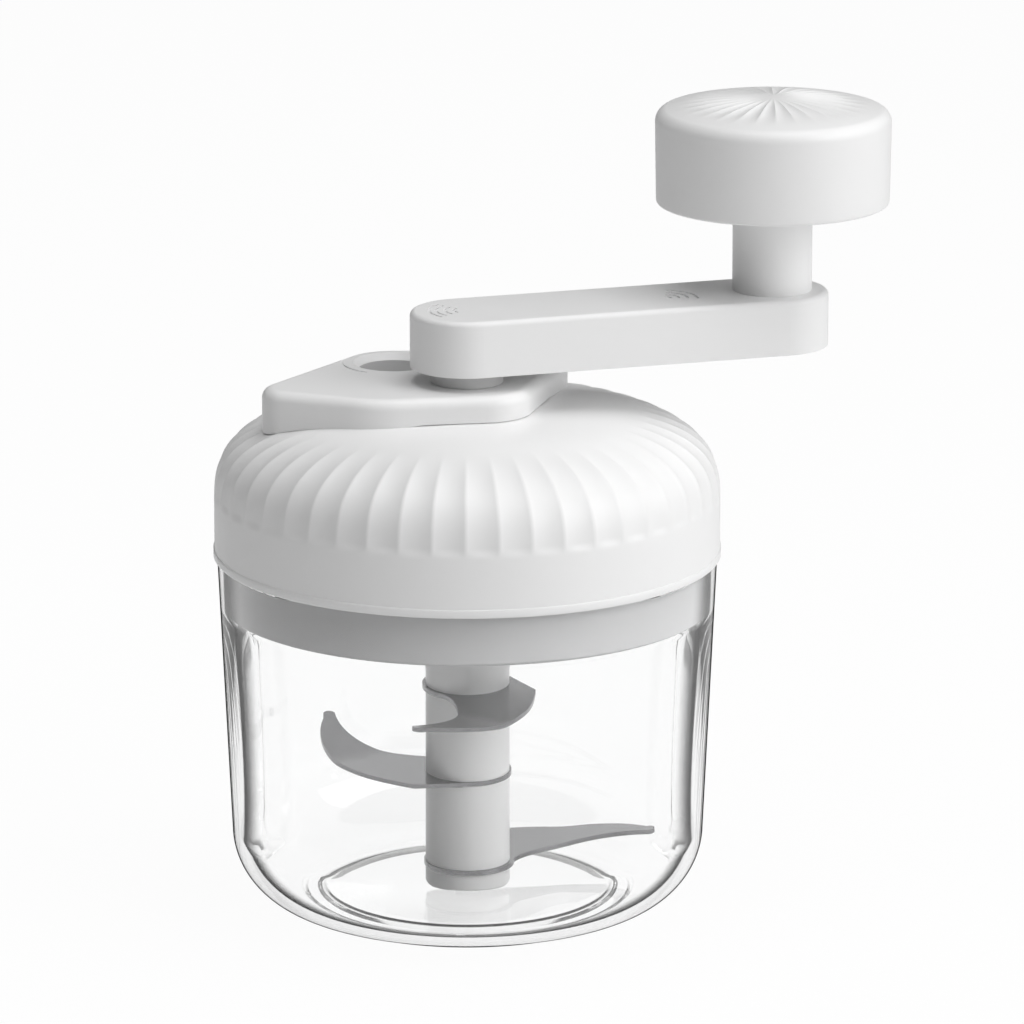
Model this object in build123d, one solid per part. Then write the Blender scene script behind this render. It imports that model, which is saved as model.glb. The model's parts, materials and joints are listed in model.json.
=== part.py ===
"""Hand-cranked food chopper: a clear bowl, a fluted lid with a geared crank, and a three-blade unit.

Millimetres. The origin is the centre of the bowl's foot, +Z runs up the main axis and +X to the right.
The crank shaft, the gears, the drive and the blade unit all turn about that one axis.
"""
from math import acos, cos, hypot, pi, radians, sin, sqrt, tan
import os

from build123d import *

# ---- Bowl ----------------------------------------------------------------------------------------
RIM_TOP = 86.0
BOWL_OUTER = 59.4
BOWL_OUTER_LOW = 56.3
BOWL_MOUTH = 57.3
BOWL_INNER = 57.1
BOWL_INNER_LOW = 53.2
TAPER_TOP = 72.0
CORNER_Z = 19.0
FLOOR_Z = 3.1
FLOOR_RAISE = 0.6
STEP_INNER = 33.6
STEP_OUTER = 35.2
CORNER_INNER = 15.9
CORNER_MIDDLE = (50.94, 6.06)
CORNER_FOOT = (39.5, 0.76)
FOOT_INNER = 34.2
FOOT_OUTER = 37.3
FOOT_RECESS = 2.4
RIB_PLACES = (14.0, 166.0)
RIB_NOSE = [(47.2, 6.5), (49.7, 19.0), (51.9, 59.0), (57.3, 66.0)]
RIB_BACK = [(57.3, 66.0), (54.9, 19.0), (49.7, 6.9), (47.2, 6.5)]
RIB_PLAN = [(45.5, 0.0), (55.5, 21.5), (62.0, 21.5), (62.0, -21.5), (55.5, -21.5), (45.5, 0.0)]
SPINDLE_RADIUS = 3.0
SPINDLE_BASE = 3.4
SPINDLE_TOP = 38.0
SPINDLE_BOSS_RADIUS = 4.2
SPINDLE_BOSS_TOP = 5.1

# ---- Lid -----------------------------------------------------------------------------------------
LID_RADIUS = 60.0
LID_BEAD = 0.3
LID_WALL = 2.5
DOME_START = 98.0
DOME_RISE = 23.8
DOME_POWER = 3.2
GASKET_TOP = 87.6
GASKET_INNER = 57.2
GASKET_OUTER = 58.9

# ---- Top housing ---------------------------------------------------------------------------------
HOUSING_TOP = 127.8
HOUSING_WALL = 2.4
HOUSING_FILLET = 2.5
HOUSING_CORNERS = [(-51.8, -9.0), (-21.3, -20.8), (12.8, -15.7), (26.5, 33.0), (-24.9, 33.0)]
HOUSING_RADII = [7.0, 25.0, 12.0, 8.0, 13.0]
HOUSING_SCREWS = [(-38.0, -4.0), (9.0, -12.2), (16.5, 23.0)]
CHUTE_X = -17.6
CHUTE_Y = 19.6
CHUTE_RADIUS = 8.3
CHUTE_WALL = 1.5
CHUTE_RIM = 1.6
CHUTE_BOTTOM = 72.3

# ---- Inner cover ---------------------------------------------------------------------------------
COVER_RADIUS = 57.1
COVER_BOTTOM = 73.9
COVER_FLOOR = 2.8
COVER_TOP = 97.0
COVER_WALL = 2.2
COVER_SCREW_CIRCLE = 44.0
COVER_POST_RADIUS = 3.6

# ---- Gear train: fixed planets between a turning ring and a turning sun --------------------------
MODULE = 0.8
PRESSURE_ANGLE = 25.0
SUN_TEETH = 12
PLANET_TEETH = 12
RING_TEETH = SUN_TEETH + 2 * PLANET_TEETH
ADDENDUM = 0.85 * MODULE
DEDENDUM = 1.12 * MODULE
BACKLASH = 0.06
SAME_POINT = 1e-6
PLANET_CIRCLE = MODULE * (SUN_TEETH + PLANET_TEETH) / 2
PLANETS = 3
GEAR_BOTTOM = 83.5
GEAR_TOP = 90.0
RING_OUTER = 16.2
WEB_BOTTOM = 93.0
WEB_TOP = 95.5
PIN_RADIUS = 1.5
RUNNING = 0.05
TRAY_BOTTOM = 80.8
TRAY_TOP = 83.2
TRAY_RADIUS = 20.0
TRAY_SCREW_CIRCLE = 28.0
TRAY_SCREW_ANGLES = [70.0, 190.0, 310.0]
TRAY_SCREW_TIP = 77.0

# ---- Crank shaft, arm and knob -------------------------------------------------------------------
SHAFT_RADIUS = 6.0
SHAFT_HEX = 9.0
SHAFT_HEX_TOP = 101.5
SHAFT_SQUARE = 9.0
SHAFT_TOP = 139.3
COLLAR_RADIUS = 8.7
BUSH_RADIUS = 8.2
BUSH_BOTTOM = 119.0
CLIP_TOP = 118.9
CLIP_THICKNESS = 0.8
ARM_BOTTOM = 131.6
ARM_TOP = 145.0
ARM_RADIUS = 13.5
ARM_LENGTH = 76.1
ARM_ANGLE = 17.4
ARM_WALL = 2.4
ARM_FILLET = 1.3
ARM_COVER = 1.8
GROOVE_WIDTH = 0.7
GROOVE_DEPTH = 0.45
PIVOT_GROOVES = (9.0, 7.3, 5.2, 3.2)
PIVOT_GROOVES_START = 140.0
GRIP_GROOVES = (7.9, 5.6, 3.5, 1.5)
GRIP_GROOVES_START = -5.0
GRIP_GROOVES_PLACE = (46.7, 12.8)
POST_RADIUS = 9.5
POST_TOP = 165.8
KNOB_RADIUS = 28.1
KNOB_BOTTOM = 166.1
KNOB_SHOULDER = 188.9
KNOB_TOP = 191.5
KNOB_WALL = 2.4
KNOB_FILLET = 3.2
AXLE_RADIUS = 3.0
AXLE_TOP = 180.0

# ---- Blade unit ----------------------------------------------------------------------------------
HUB_RADIUS = 10.1
HUB_BOTTOM = 5.5
HUB_TOP = 71.5
CORE_RADIUS = 7.0
CORE_FLATS = 12.4
CORE_BOTTOM = 6.9
BLADE_THICKNESS = 1.0
BLADE_LEVELS = {"bottom": 9.7, "middle": 30.6, "top": 51.2}
BLADE_TIPS = {"bottom": 9.5, "middle": 133.0, "top": 250.0}
BLADE_COLLAR = 10.8
BLADE_COLLAR_SHIFT = 0.35
BLADE_ROOT = [(-7.3, 8.3), (-0.1, 17.4)]
BLADE_LEADING = [(-0.1, 17.4), (6.0, 19.1), (13.0, 20.3), (20.0, 20.2), (28.0, 18.8), (35.0, 16.0), (45.5, 6.5)]
BLADE_TIP = (47.1, 4.6)
BLADE_TRAILING = [(45.2, 3.4), (40.0, 6.0), (33.0, 7.5), (25.0, 6.8), (18.0, 3.9), (13.8, 1.2), (9.8, -4.0)]
BEND_TURN = -15.0
BEND_START = 18.0
BEND_END = 24.0
BEND_SLOPE = 0.16
BLADE_REACH = 52.0
SOCKET_BOTTOM = 59.5
SOCKET_HEX = 7.0
DOG_HEX = 6.75
DOG_BOTTOM = 60.5
JOURNAL_RADIUS = 4.0
CORE_PIN_RADIUS = 2.0

BASE = (Align.CENTER, Align.CENTER, Align.MIN)


# ---- Helpers -------------------------------------------------------------------------------------
def disc(radius, bottom, top, x=0.0, y=0.0):
    """An upright cylinder between two heights."""
    return Pos(x, y, bottom) * Cylinder(radius, top - bottom, align=BASE)


def tube(outer, inner, bottom, top, x=0.0, y=0.0):
    """An upright cylinder with a hole right through it."""
    return disc(outer, bottom, top, x, y) - disc(inner, bottom, top, x, y)


def prism(outline, bottom, top):
    """A flat outline on the XY plane, raised between two heights."""
    return Pos(0, 0, bottom) * extrude(outline, top - bottom)


def hexagon(across_flats, bottom, top):
    """A hexagonal bar on the main axis."""
    return prism(RegularPolygon(across_flats / sqrt(3), 6), bottom, top)


def square(side, bottom, top):
    """A square bar on the main axis, turned to lie along the crank arm."""
    return prism(Rot(0, 0, ARM_ANGLE) * Rectangle(side, side), bottom, top)


def turned(*edges):
    """A body of revolution from a closed (radius, height) profile."""
    return revolve(make_face([Plane.XZ * edge for edge in edges]), Axis.Z)


def on_circle(radius, degrees):
    """The X and Y of a point on a circle about the main axis."""
    return radius * cos(radians(degrees)), radius * sin(radians(degrees))


def screw(x, y, seat, tip, shank=1.25, head=2.7, height=1.7):
    """A cross-head screw whose head bears on the seat height; it points up when the tip is above the seat."""
    up = tip > seat
    head_low, head_high = (seat - height, seat) if up else (seat, seat + height)
    body = disc(head, head_low, head_high, x, y) + disc(shank, min(seat, tip), max(seat, tip), x, y)
    slot_z = head_low if up else head_high
    for turn in (0, 90):
        body -= Pos(x, y, slot_z) * Rot(0, 0, turn) * Box(head * 1.1, 0.6, 1.2)
    return body


def post_at_arm_end():
    """The X and Y of the knob's axis."""
    return on_circle(ARM_LENGTH, ARM_ANGLE)


# ---- Bowl ----------------------------------------------------------------------------------------
def bowl_body():
    """The outside of the bowl, solid, with its recessed foot."""
    return turned(
        Polyline(
            (0, FOOT_RECESS),
            (FOOT_INNER - 1.2, FOOT_RECESS),
            (FOOT_INNER, 0),
            (FOOT_OUTER, 0),
            CORNER_FOOT,
        ),
        ThreePointArc(CORNER_FOOT, CORNER_MIDDLE, (BOWL_OUTER_LOW, CORNER_Z)),
        Polyline((BOWL_OUTER_LOW, CORNER_Z), (BOWL_OUTER, RIM_TOP), (0, RIM_TOP), (0, FOOT_RECESS)),
    )


def bowl_cavity():
    """The space inside the bowl: slightly raised centre floor, rounded corner, tapering wall and mouth."""
    raised = FLOOR_Z + FLOOR_RAISE
    floor_edge = BOWL_INNER_LOW - CORNER_INNER
    turn = pi / 4
    return turned(
        Polyline((0, RIM_TOP), (0, raised), (STEP_INNER, raised)),
        Spline(
            (STEP_INNER, raised),
            ((STEP_INNER + STEP_OUTER) / 2, FLOOR_Z + FLOOR_RAISE / 2),
            (STEP_OUTER, FLOOR_Z),
            tangents=[(1, 0), (1, 0)],
        ),
        Line((STEP_OUTER, FLOOR_Z), (floor_edge, FLOOR_Z)),
        ThreePointArc(
            (floor_edge, FLOOR_Z),
            (floor_edge + CORNER_INNER * sin(turn), FLOOR_Z + CORNER_INNER * (1 - cos(turn))),
            (BOWL_INNER_LOW, CORNER_Z),
        ),
        Polyline(
            (BOWL_INNER_LOW, CORNER_Z),
            (BOWL_INNER, TAPER_TOP),
            (BOWL_MOUTH, RIM_TOP),
            (0, RIM_TOP),
        ),
    )


def bowl_rib(azimuth):
    """An upright rib inside the wall that turns the food back into the blades; its top is chamfered."""
    profile = turned(Polyline(*RIB_NOSE), Polyline(*RIB_BACK))
    wedge = make_face(Polyline(*RIB_PLAN))
    return profile & (Rot(0, 0, azimuth) * prism(wedge, 0, RIM_TOP))


def bowl():
    """The clear bowl with two ribs and a blind boss for the spindle."""
    outside = bowl_body()
    shape = outside - bowl_cavity()
    for azimuth in RIB_PLACES:
        shape += bowl_rib(azimuth) & outside
    shape += disc(SPINDLE_BOSS_RADIUS, FOOT_RECESS, SPINDLE_BOSS_TOP)
    return shape - disc(SPINDLE_RADIUS, SPINDLE_BASE, SPINDLE_BOSS_TOP)


def bowl_spindle():
    """The steel pin that the blade unit turns on, with a rounded tip."""
    pin = disc(SPINDLE_RADIUS, SPINDLE_BASE, SPINDLE_TOP)
    return fillet(pin.edges().group_by(Axis.Z)[-1], 1.8)


# ---- Lid -----------------------------------------------------------------------------------------
def dome_height(radius, wide, rise):
    """Height of the dome's superellipse above its spring line."""
    return DOME_START + rise * (1 - (radius / wide) ** DOME_POWER) ** (1 / DOME_POWER)


def dome(shrink, bottom):
    """The solid under the dome, from a bottom height up, inset by a wall thickness."""
    wide = LID_RADIUS - shrink
    rise = DOME_RISE - shrink
    shares = [0.997, 0.975, 0.93, 0.86, 0.75, 0.6, 0.4]
    points = [(wide * share, dome_height(wide * share, wide, rise)) for share in shares]
    crown = DOME_START + rise
    return turned(
        Line((wide, bottom), (wide, DOME_START)),
        Spline((wide, DOME_START), *points, (0, crown), tangents=[(0, 1), (-1, 0)]),
        Polyline((0, crown), (0, bottom), (wide, bottom)),
    )


def cover_screw_places():
    """The four screws that hold the inner cover to the lid."""
    return [on_circle(COVER_SCREW_CIRCLE, 45 + 90 * k) for k in range(4)]


def lid_shell():
    """The domed lid: skirt with a bead, crown, and the posts that the screws go into."""
    inside = dome(LID_WALL, RIM_TOP)
    shape = dome(0.0, RIM_TOP) - inside
    shape += tube(LID_RADIUS + LID_BEAD, LID_RADIUS - 0.5, RIM_TOP + 0.2, RIM_TOP + 2.0)
    cover_seat = COVER_BOTTOM + COVER_FLOOR
    posts = []
    for x, y in cover_screw_places():
        posts.append(tube(COVER_POST_RADIUS, 1.25, cover_seat, DOME_START + DOME_RISE, x, y))
    for x, y in HOUSING_SCREWS:
        posts.append(disc(4.2, 116.4, DOME_START + DOME_RISE, x, y))
    outside = dome(0.0, cover_seat)
    for post in posts:
        shape += post & outside
    for x, y in cover_screw_places():
        shape -= disc(1.25, cover_seat, 108.0, x, y)
    for x, y in HOUSING_SCREWS:
        shape -= disc(1.35, 110.0, 130.0, x, y)
    shape -= disc(BUSH_RADIUS, 110.0, 130.0)
    shape -= disc(CHUTE_RADIUS + CHUTE_WALL, 110.0, 130.0, CHUTE_X, CHUTE_Y)
    return shape - tube(GASKET_OUTER, 50.0, RIM_TOP, GASKET_TOP)


def rim_gasket():
    """The silicone ring in the lid's underside that seals on the bowl's rim."""
    return tube(GASKET_OUTER, GASKET_INNER, RIM_TOP, GASKET_TOP)


# ---- Top housing ---------------------------------------------------------------------------------
def housing_plan(inset=0.0):
    """The housing's plan outline: a rounded wedge that is wide round the feed hole."""
    outline = make_face(FilletPolyline(*HOUSING_CORNERS, radius=HOUSING_RADII, close=True))
    return offset(outline, -inset) if inset else outline


def top_housing():
    """The raised cap on the crown that carries the crank's bush and the feed hole."""
    low = DOME_START + 10.0
    block = prism(housing_plan(), low, HOUSING_TOP)
    block = fillet(block.edges().group_by(Axis.Z)[-1], HOUSING_FILLET)
    deck = HOUSING_TOP - HOUSING_WALL
    shape = block - prism(housing_plan(HOUSING_WALL), low, deck)
    shape += disc(BUSH_RADIUS + 2.2, low, deck)
    shape += disc(CHUTE_RADIUS + CHUTE_WALL + 1.8, low, deck, CHUTE_X, CHUTE_Y) & block
    for x, y in HOUSING_SCREWS:
        shape += disc(3.4, low, deck, x, y) & block
    shape -= disc(BUSH_RADIUS, low, HOUSING_TOP)
    shape -= disc(CHUTE_RADIUS + CHUTE_WALL, low, deck, CHUTE_X, CHUTE_Y)
    shape -= disc(CHUTE_RADIUS, deck, HOUSING_TOP, CHUTE_X, CHUTE_Y)
    mouth = Pos(CHUTE_X, CHUTE_Y, HOUSING_TOP - CHUTE_RIM)
    shape -= mouth * Cone(CHUTE_RADIUS, CHUTE_RADIUS + CHUTE_RIM, CHUTE_RIM, align=BASE)
    for x, y in HOUSING_SCREWS:
        shape -= disc(1.25, low, deck, x, y)
    shape -= chute_groove()
    return shape - dome(0.0, RIM_TOP)


def chute_groove():
    """A shallow engraved arc round the feed hole, on the side away from the crank."""
    ring = tube(12.8, 12.1, HOUSING_TOP - 0.4, HOUSING_TOP, CHUTE_X, CHUTE_Y)
    quarter = Box(30, 30, 4, align=(Align.MIN, Align.MIN, Align.MIN))
    keep = Pos(CHUTE_X, CHUTE_Y, HOUSING_TOP - 1) * Rot(0, 0, 150) * quarter
    return ring & keep


def feed_chute():
    """The tube from the feed hole down through the lid into the bowl."""
    top = HOUSING_TOP - HOUSING_WALL
    return tube(CHUTE_RADIUS + CHUTE_WALL, CHUTE_RADIUS, CHUTE_BOTTOM, top, CHUTE_X, CHUTE_Y)


def housing_screws():
    """Three screws from inside the lid up into the housing."""
    return [screw(x, y, 116.4, 124.0) for x, y in HOUSING_SCREWS]


# ---- Inner cover ---------------------------------------------------------------------------------
def inner_cover():
    """The plug that closes the lid's underside: a dish with a bush boss and posts for the gear tray."""
    floor_top = COVER_BOTTOM + COVER_FLOOR
    shape = disc(COVER_RADIUS, COVER_BOTTOM, COVER_TOP)
    shape -= disc(COVER_RADIUS - COVER_WALL, floor_top, COVER_TOP)
    shape = fillet(shape.edges().group_by(Axis.Z)[0], 0.7)
    shape += disc(8.0, floor_top, 78.8)
    for degrees in TRAY_SCREW_ANGLES:
        x, y = on_circle(TRAY_SCREW_CIRCLE, degrees)
        shape += disc(4.0, floor_top, TRAY_BOTTOM, x, y)
        shape -= disc(1.25, floor_top, TRAY_BOTTOM, x, y)
    shape -= disc(5.5, COVER_BOTTOM, 78.8)
    shape -= disc(CHUTE_RADIUS + CHUTE_WALL, COVER_BOTTOM, floor_top, CHUTE_X, CHUTE_Y)
    for x, y in cover_screw_places():
        shape -= disc(1.4, COVER_BOTTOM, floor_top, x, y)
        shape -= disc(3.1, COVER_BOTTOM, COVER_BOTTOM + 1.3, x, y)
    return shape


def cover_screws():
    """Four screws from below, their heads sunk in the cover's floor."""
    return [screw(x, y, COVER_BOTTOM + 1.3, 88.0, height=1.2) for x, y in cover_screw_places()]


# ---- Gears ---------------------------------------------------------------------------------------
def tooth_flank(teeth, thickness, root, tip):
    """Points up one involute flank of the tooth centred on +X, from the root circle to the tip circle."""
    pitch = MODULE * teeth / 2
    base = pitch * cos(radians(PRESSURE_ANGLE))
    spread = tan(radians(PRESSURE_ANGLE)) - radians(PRESSURE_ANGLE)
    half = thickness / (2 * pitch) + spread
    low = max(base, root)
    radii = [low + (tip - low) * share for share in (0.0, 0.35, 0.7, 1.0)]
    points = []
    for radius in radii:
        roll = acos(min(1.0, base / radius))
        angle = half - (tan(roll) - roll)
        points.append((radius * cos(angle), radius * sin(angle)))
    return points


def gear_outline(teeth, root, tip, thickness):
    """A whole gear's outline: involute flanks, tip arcs, root arcs and short radial feet below the base circle."""
    flank = tooth_flank(teeth, thickness, root, tip)
    mirrored = [(x, -y) for x, y in flank]
    pitch_angle = 360 / teeth
    start = flank[0]
    start_radius = hypot(*start)
    foot_turn = acos(min(1.0, start[0] / start_radius))
    next_turn = radians(pitch_angle) - foot_turn
    foot = (root * cos(foot_turn), root * sin(foot_turn))
    next_foot = (root * cos(next_turn), root * sin(next_turn))
    next_start = (start_radius * cos(next_turn), start_radius * sin(next_turn))
    gap_turn = radians(pitch_angle / 2)
    gap = (root * cos(gap_turn), root * sin(gap_turn))
    tooth = [Spline(*mirrored), ThreePointArc(mirrored[-1], (tip, 0), flank[-1]), Spline(*flank[::-1])]
    tooth.append(ThreePointArc(foot, gap, next_foot))
    if start_radius - root > SAME_POINT:
        tooth += [Line(start, foot), Line(next_foot, next_start)]
    return make_face([Rot(0, 0, k * pitch_angle) * edge for k in range(teeth) for edge in tooth])


def pinion_outline(teeth):
    """An external gear's outline, with a tooth centred on +X."""
    pitch = MODULE * teeth / 2
    return gear_outline(teeth, pitch - DEDENDUM, pitch + ADDENDUM, pi * MODULE / 2 - BACKLASH)


def sun_gear():
    """The small gear on the drive shaft, with a hub that passes through the tray."""
    gear = prism(pinion_outline(SUN_TEETH), GEAR_BOTTOM, GEAR_TOP) + disc(4.4, 80.4, GEAR_BOTTOM)
    return gear - shaft_core(80.0, GEAR_TOP + 1)


def planet_gear(number):
    """One planet gear; a tooth gap faces the sun and another faces the ring."""
    azimuth = 360 / PLANETS * number
    half_pitch = 180 / PLANET_TEETH
    x, y = on_circle(PLANET_CIRCLE, azimuth)
    outline = Rot(0, 0, azimuth + half_pitch) * pinion_outline(PLANET_TEETH)
    gear = Pos(x, y, 0) * prism(outline, GEAR_BOTTOM, GEAR_TOP)
    return gear - disc(PIN_RADIUS + RUNNING, GEAR_BOTTOM, GEAR_TOP, x, y)


def ring_gear():
    """The internal gear that the crank turns: toothed skirt, web and a hexagonal hub."""
    pitch = MODULE * RING_TEETH / 2
    space = gear_outline(RING_TEETH, pitch - ADDENDUM, pitch + DEDENDUM, pi * MODULE / 2 + BACKLASH)
    space = Rot(0, 0, 180 / RING_TEETH) * space
    shape = disc(RING_OUTER, GEAR_BOTTOM, WEB_TOP) + disc(8.5, WEB_TOP, SHAFT_HEX_TOP)
    shape -= prism(space, GEAR_BOTTOM, WEB_BOTTOM)
    return shape - hexagon(SHAFT_HEX, WEB_BOTTOM, SHAFT_HEX_TOP)


def planet_places():
    """The planets' axes."""
    return [on_circle(PLANET_CIRCLE, 360 / PLANETS * k) for k in range(PLANETS)]


def gear_tray():
    """The plate that holds the planet pins, on three arms that reach the cover's posts."""
    shape = disc(TRAY_RADIUS, TRAY_BOTTOM, TRAY_TOP)
    for degrees in TRAY_SCREW_ANGLES:
        arm = Rot(0, 0, degrees) * (Pos(TRAY_SCREW_CIRCLE / 2, 0) * Rectangle(TRAY_SCREW_CIRCLE, 9.0))
        shape += prism(arm, TRAY_BOTTOM, TRAY_TOP)
        x, y = on_circle(TRAY_SCREW_CIRCLE, degrees)
        shape += disc(4.5, TRAY_BOTTOM, TRAY_TOP, x, y)
        shape -= disc(1.4, TRAY_BOTTOM, TRAY_TOP, x, y)
    for x, y in planet_places():
        shape -= disc(PIN_RADIUS, TRAY_BOTTOM, TRAY_TOP, x, y)
    shape -= disc(4.9, TRAY_BOTTOM, TRAY_TOP)
    return shape - disc(CHUTE_RADIUS + CHUTE_WALL + 0.3, TRAY_BOTTOM, TRAY_TOP, CHUTE_X, CHUTE_Y)


def tray_screws():
    """Three screws down through the tray's arms into the cover's posts."""
    places = [on_circle(TRAY_SCREW_CIRCLE, degrees) for degrees in TRAY_SCREW_ANGLES]
    return [screw(x, y, TRAY_TOP, TRAY_SCREW_TIP) for x, y in places]


def planet_pins():
    """Three fixed pins that the planets turn on."""
    return [disc(PIN_RADIUS, TRAY_BOTTOM, GEAR_TOP + 0.7, x, y) for x, y in planet_places()]


def planet_clips():
    """Three push-on rings that keep the planets on their pins."""
    return [tube(2.7, PIN_RADIUS, GEAR_TOP + 0.1, GEAR_TOP + 0.6, x, y) for x, y in planet_places()]


# ---- Drive to the blades -------------------------------------------------------------------------
def shaft_core(bottom, top):
    """The drive shaft's D section."""
    return disc(CORE_PIN_RADIUS, bottom, top) & (Pos(-0.5, 0, bottom) * Box(4.0, 5.0, top - bottom, align=BASE))


def drive_shaft():
    """The steel D shaft through the sun gear and the drive dog."""
    return shaft_core(64.0, GEAR_TOP)


def drive_dog():
    """The hexagonal dog that plugs into the blade unit, with its journal and collar."""
    shape = hexagon(DOG_HEX, DOG_BOTTOM, 73.0)
    shape += disc(JOURNAL_RADIUS, 73.0, 80.0)
    shape += disc(6.0, 79.85, 80.4)
    return shape - shaft_core(64.0, 81.0)


def lower_bush():
    """The flanged bush in the cover's boss that the dog's journal turns in."""
    shape = disc(5.5, COVER_BOTTOM, 79.0) + disc(7.5, 78.8, 79.8)
    return shape - disc(JOURNAL_RADIUS + RUNNING, COVER_BOTTOM, 79.8)


# ---- Crank ---------------------------------------------------------------------------------------
def crank_bush():
    """The plain bush through the housing and the crown."""
    return tube(BUSH_RADIUS, SHAFT_RADIUS + RUNNING, BUSH_BOTTOM, HOUSING_TOP)


def crank_shaft():
    """The shaft from the ring gear up to the arm: hexagon, journal with a clip groove, collar and square."""
    shape = hexagon(SHAFT_HEX, WEB_BOTTOM, SHAFT_HEX_TOP)
    shape += disc(SHAFT_RADIUS, SHAFT_HEX_TOP, HOUSING_TOP + 0.1)
    shape += disc(COLLAR_RADIUS, HOUSING_TOP + 0.1, ARM_BOTTOM)
    shape += square(SHAFT_SQUARE, ARM_BOTTOM, SHAFT_TOP)
    shape -= tube(SHAFT_RADIUS + 1, SHAFT_RADIUS - 0.8, CLIP_TOP - CLIP_THICKNESS, CLIP_TOP)
    return shape - disc(1.9, WEB_BOTTOM, SHAFT_TOP)


def shaft_clip():
    """The E-clip under the bush that stops the shaft from lifting out."""
    bottom = CLIP_TOP - CLIP_THICKNESS
    clip = tube(8.0, SHAFT_RADIUS - 0.8, bottom, CLIP_TOP)
    return clip - Pos(6.0, 0, bottom) * Box(9.0, 6.0, CLIP_THICKNESS, align=BASE)


def crank_screw():
    """The long screw up through the shaft that clamps the ring gear, the shaft and the arm together."""
    return screw(0, 0, WEB_BOTTOM, 142.8, shank=1.9, head=6.0, height=1.8)


def arm_plan(inset=0.0):
    """The arm's plan: a straight bar with round ends over the pivot and the post."""
    x, y = post_at_arm_end()
    bar = Pos(x / 2, y / 2) * Rot(0, 0, ARM_ANGLE) * Rectangle(ARM_LENGTH, 2 * (ARM_RADIUS - inset))
    return bar + Circle(ARM_RADIUS - inset) + Pos(x, y) * Circle(ARM_RADIUS - inset)


def arm_grooves(x, y, radii, start):
    """Concentric shallow grooves, a quarter circle each, engraved in the arm's top."""
    half = GROOVE_WIDTH / 2
    bottom = ARM_TOP - GROOVE_DEPTH
    corner = (Align.MIN, Align.MIN, Align.MIN)
    keep = Pos(x, y, ARM_TOP - 1) * Rot(0, 0, start) * Box(20, 20, 4, align=corner)
    return [tube(radius + half, radius - half, bottom, ARM_TOP, x, y) & keep for radius in radii]


def arm_screw_places():
    """The two screws that hold the arm's underside cover."""
    return [on_circle(share * ARM_LENGTH, ARM_ANGLE) for share in (0.3, 0.7)]


def crank_arm():
    """The arm's shell, open underneath, with the square socket and the axle's boss."""
    x, y = post_at_arm_end()
    deck = ARM_TOP - ARM_WALL
    block = prism(arm_plan(), ARM_BOTTOM, ARM_TOP)
    block = fillet(block.edges().group_by(Axis.Z)[-1], ARM_FILLET)
    shape = block - prism(arm_plan(ARM_WALL), ARM_BOTTOM, deck)
    shape += disc(9.4, ARM_BOTTOM, deck)
    shape += disc(6.0, ARM_BOTTOM + ARM_COVER, deck, x, y)
    for px, py in arm_screw_places():
        shape += tube(3.2, 1.25, ARM_BOTTOM + ARM_COVER, deck, px, py)
    shape -= square(SHAFT_SQUARE, ARM_BOTTOM, SHAFT_TOP)
    shape -= disc(1.9, SHAFT_TOP, 142.8)
    shape -= disc(AXLE_RADIUS, ARM_BOTTOM + ARM_COVER, ARM_TOP, x, y)
    for groove in arm_grooves(0.0, 0.0, PIVOT_GROOVES, PIVOT_GROOVES_START):
        shape -= groove
    for groove in arm_grooves(*GRIP_GROOVES_PLACE, GRIP_GROOVES, GRIP_GROOVES_START):
        shape -= groove
    return shape


def arm_cover():
    """The plate that closes the arm's underside."""
    plate = prism(arm_plan(ARM_WALL), ARM_BOTTOM, ARM_BOTTOM + ARM_COVER)
    plate -= disc(9.4, ARM_BOTTOM, ARM_BOTTOM + ARM_COVER)
    for x, y in arm_screw_places():
        plate -= disc(1.4, ARM_BOTTOM, ARM_BOTTOM + ARM_COVER, x, y)
        plate -= disc(2.8, ARM_BOTTOM, ARM_BOTTOM + 1.0, x, y)
    return plate


def arm_cover_screws():
    """Two screws from below, their heads sunk in the cover."""
    return [screw(x, y, ARM_BOTTOM + 1.0, 140.0, head=2.6, height=0.9) for x, y in arm_screw_places()]


# ---- Knob ----------------------------------------------------------------------------------------
def knob_axle():
    """The steel pin from the arm up through the post into the knob, tapped for its screw."""
    x, y = post_at_arm_end()
    return disc(AXLE_RADIUS, ARM_BOTTOM + ARM_COVER, AXLE_TOP, x, y) - disc(1.25, 168.0, AXLE_TOP, x, y)


def knob_post():
    """The sleeve that stands on the arm under the knob."""
    x, y = post_at_arm_end()
    return tube(POST_RADIUS, AXLE_RADIUS, ARM_TOP, POST_TOP, x, y)


def knob_washer():
    """The washer on top of the axle that keeps the knob down."""
    x, y = post_at_arm_end()
    return tube(6.2, 1.25, AXLE_TOP, AXLE_TOP + 0.8, x, y)


def knob_screw():
    """The screw in the top of the axle."""
    x, y = post_at_arm_end()
    return screw(x, y, AXLE_TOP + 0.8, 170.0)


def knob_bush():
    """The bush that the knob turns on."""
    x, y = post_at_arm_end()
    bush = disc(5.5, KNOB_BOTTOM + 0.2, AXLE_TOP - 0.2, x, y)
    return bush - disc(AXLE_RADIUS + RUNNING, KNOB_BOTTOM, AXLE_TOP, x, y)


def knob_outside(shrink, bottom):
    """The knob's solid form, inset by a wall: straight side, rounded shoulder and a crowned top."""
    radius = KNOB_RADIUS - shrink
    shoulder = KNOB_FILLET - shrink / 2
    high = KNOB_SHOULDER - shrink
    return turned(
        Polyline((0, bottom), (radius, bottom), (radius, high - shoulder)),
        ThreePointArc(
            (radius, high - shoulder),
            (radius - shoulder * (1 - cos(pi / 4)), high - shoulder * (1 - sin(pi / 4))),
            (radius - shoulder, high),
        ),
        Spline((radius - shoulder, high), (0, KNOB_TOP - shrink), tangents=[(-1, 0.16), (-1, 0)]),
        Line((0, KNOB_TOP - shrink), (0, bottom)),
    )


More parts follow.
